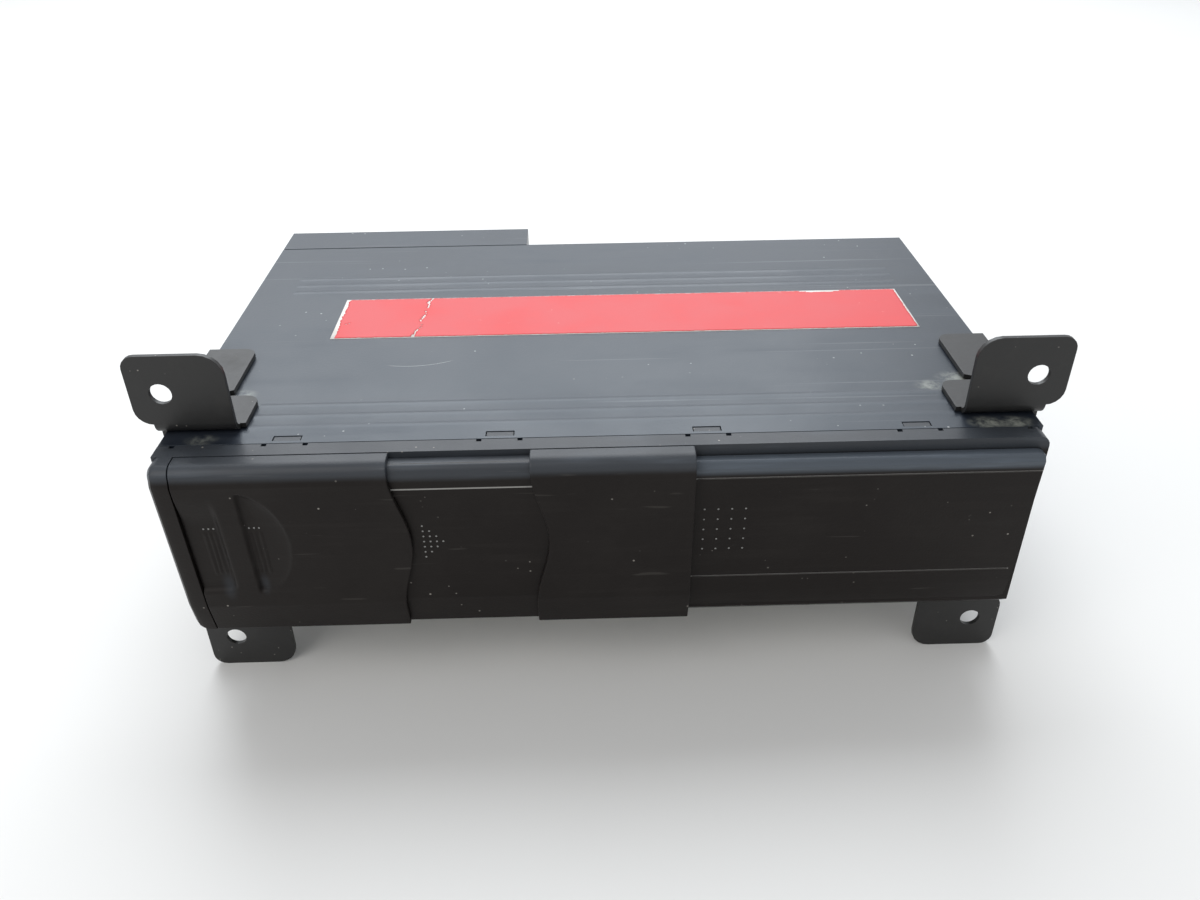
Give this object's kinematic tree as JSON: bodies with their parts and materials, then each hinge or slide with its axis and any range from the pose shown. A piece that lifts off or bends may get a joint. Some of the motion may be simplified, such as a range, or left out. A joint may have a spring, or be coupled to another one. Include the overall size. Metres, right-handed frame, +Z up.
{
  "type": "car cd changer",
  "caption": "Car disc changer: steel case, plastic front with a two-leaf sliding door, fixing brackets, tray magazine and lifting play deck.",
  "frame": {"origin": "middle of the bottom of the part's box, at the ends of the lower bracket ears", "axes": "+Z up, the sliding door faces -Y, +X to the right as seen from the front"},
  "size_m": [0.268, 0.1816, 0.117],
  "materials": {
    "cover_paint": "satin dark steel paint",
    "front_plastic": "satin black moulded plastic",
    "bracket_coat": "black powder coat",
    "label_red": "printed film, torn at its edges",
    "zinc_steel": "zinc plated",
    "dark_screw": "black oxide",
    "inner_plastic": "moulded",
    "tray_plastic": "moulded",
    "white_nylon": "moulded nylon",
    "rubber": "soft rubber",
    "brass": "plain",
    "lens_glass": "polished lens",
    "board_green": "solder mask",
    "chip_black": "moulded",
    "can_aluminium": "drawn can"
  },
  "bodies": {
    "case": {"bracket_left": "bracket_coat", "bracket_right": "bracket_coat", "bracket_screw_1": "dark_screw", "bracket_screw_2": "dark_screw", "bracket_screw_3": "dark_screw", "bracket_screw_4": "dark_screw", "button_spring": "zinc_steel", "case_screw_1": "dark_screw", "case_screw_2": "dark_screw", "case_screw_3": "dark_screw", "case_screw_4": "dark_screw", "chassis_pan": "zinc_steel", "disc_tray_1": "tray_plastic", "disc_tray_2": "tray_plastic", "disc_tray_3": "tray_plastic", "disc_tray_4": "tray_plastic", "disc_tray_5": "tray_plastic", "disc_tray_6": "tray_plastic", "front_frame": "front_plastic", "gear_axle": "zinc_steel", "latch_pin": "zinc_steel", "lift_motor": "can_aluminium", "magazine_bay": "inner_plastic", "magazine_shell": "inner_plastic", "main_board": "board_green", "motor_plate": "zinc_steel", "processor_chip": "chip_black", "rear_socket": "inner_plastic", "red_label": "label_red", "right_panel": "front_plastic", "socket_contacts": "brass", "top_cover": "cover_paint"},
    "lift": {"lift_frame": "zinc_steel", "play_deck": "inner_plastic", "spindle_motor": "can_aluminium", "sled_motor": "can_aluminium", "clamp_pin": "zinc_steel", "deck_damper_1": "rubber", "deck_damper_2": "rubber", "deck_damper_3": "rubber", "deck_screw_1": "dark_screw", "deck_screw_2": "dark_screw", "deck_screw_3": "dark_screw", "guide_rod_1": "zinc_steel", "guide_rod_2": "zinc_steel"},
    "inner_door": {"inner_door": "front_plastic"},
    "outer_door": {"outer_door": "front_plastic"},
    "eject_button": {"eject_button": "front_plastic"},
    "eject_latch": {"eject_latch": "zinc_steel"},
    "side_cam": {"side_cam": "zinc_steel"},
    "rear_cam": {"rear_cam": "zinc_steel"},
    "corner_gear": {"corner_gear": "white_nylon"},
    "motor_pinion": {"motor_pinion": "brass"},
    "turntable": {"turntable": "inner_plastic"},
    "pickup": {"pickup_sled": "inner_plastic", "pickup_lens": "lens_glass"},
    "lead_screw": {"lead_screw": "zinc_steel"},
    "clamp_arm": {"clamp_arm": "zinc_steel"},
    "clamp_puck": {"clamp_puck": "white_nylon"},
    "tray_hook": {"tray_hook": "zinc_steel"}
  },
  "joints": [
    {"name": "inner_door_slide", "type": "slide", "parent": "case", "child": "inner_door", "axis": [1, 0, 0], "range_m": [0, 0.095]},
    {"name": "outer_door_slide", "type": "slide", "parent": "inner_door", "child": "outer_door", "axis": [1, 0, 0], "range_m": [0, 0.0395]},
    {"name": "eject_button_push", "type": "slide", "parent": "case", "child": "eject_button", "axis": [0, 1, 0], "range_m": [0, 0.0025], "stiffness_N_per_m": 400, "springref_m": -0.002, "deforming": ["button_spring"]},
    {"name": "eject_latch_turn", "type": "hinge", "parent": "case", "child": "eject_latch", "pos_m": [0.004, -0.0684, 0.0323], "axis": [0, 0, 1], "range_deg": [0, 23.5]},
    {"name": "deck_lift", "type": "slide", "parent": "case", "child": "lift", "axis": [0, 0, 1], "range_m": [0, 0.032]},
    {"name": "side_cam_slide", "type": "slide", "parent": "case", "child": "side_cam", "axis": [0, 1, 0], "range_m": [0, 0.016]},
    {"name": "rear_cam_slide", "type": "slide", "parent": "case", "child": "rear_cam", "axis": [-1, 0, 0], "range_m": [0, 0.016]},
    {"name": "corner_gear_turn", "type": "hinge", "parent": "case", "child": "corner_gear", "pos_m": [0.104, 0.046, 0.0276], "axis": [0, 0, 1], "range_deg": [0, 115]},
    {"name": "motor_pinion_turn", "type": "hinge", "parent": "case", "child": "motor_pinion", "pos_m": [0.09541, 0.03741, 0.0276], "axis": [0, 0, 1], "range_deg": [-230, 0]},
    {"name": "turntable_spin", "type": "hinge", "parent": "lift", "child": "turntable", "pos_m": [0.054, -0.01795, 0.035], "axis": [0, 0, 1], "continuous": true},
    {"name": "sled_slide", "type": "slide", "parent": "lift", "child": "pickup", "axis": [0, 1, 0], "range_m": [0, 0.032]},
    {"name": "lead_screw_turn", "type": "hinge", "parent": "lift", "child": "lead_screw", "pos_m": [0.0735, -0.0115, 0.0316], "axis": [0, 1, 0], "range_deg": [0, 3841]},
    {"name": "clamp_arm_turn", "type": "hinge", "parent": "lift", "child": "clamp_arm", "pos_m": [0.054, 0.0515, 0.0472], "axis": [-1, 0, 0], "range_deg": [0, 6], "stiffness_Nm_per_rad": 0.05, "springref_deg": -22.92},
    {"name": "clamp_puck_spin", "type": "hinge", "parent": "clamp_arm", "child": "clamp_puck", "pos_m": [0.054, -0.01795, 0.0464], "axis": [0, 0, 1], "continuous": true},
    {"name": "tray_hook_turn", "type": "hinge", "parent": "lift", "child": "tray_hook", "pos_m": [0.014, 0.038, 0.0372], "axis": [0, 0, 1], "range_deg": [0, 60]}
  ],
  "couplings": [
    {"joint": "eject_latch_turn", "follows": "eject_button_push", "rad_per_m": 160.6},
    {"joint": "side_cam_slide", "follows": "deck_lift", "ratio": 0.5},
    {"joint": "rear_cam_slide", "follows": "deck_lift", "ratio": 0.5},
    {"joint": "corner_gear_turn", "follows": "deck_lift", "rad_per_m": 62.5},
    {"joint": "motor_pinion_turn", "follows": "deck_lift", "rad_per_m": -125},
    {"joint": "lead_screw_turn", "follows": "sled_slide", "rad_per_m": 2094.4}
  ]
}
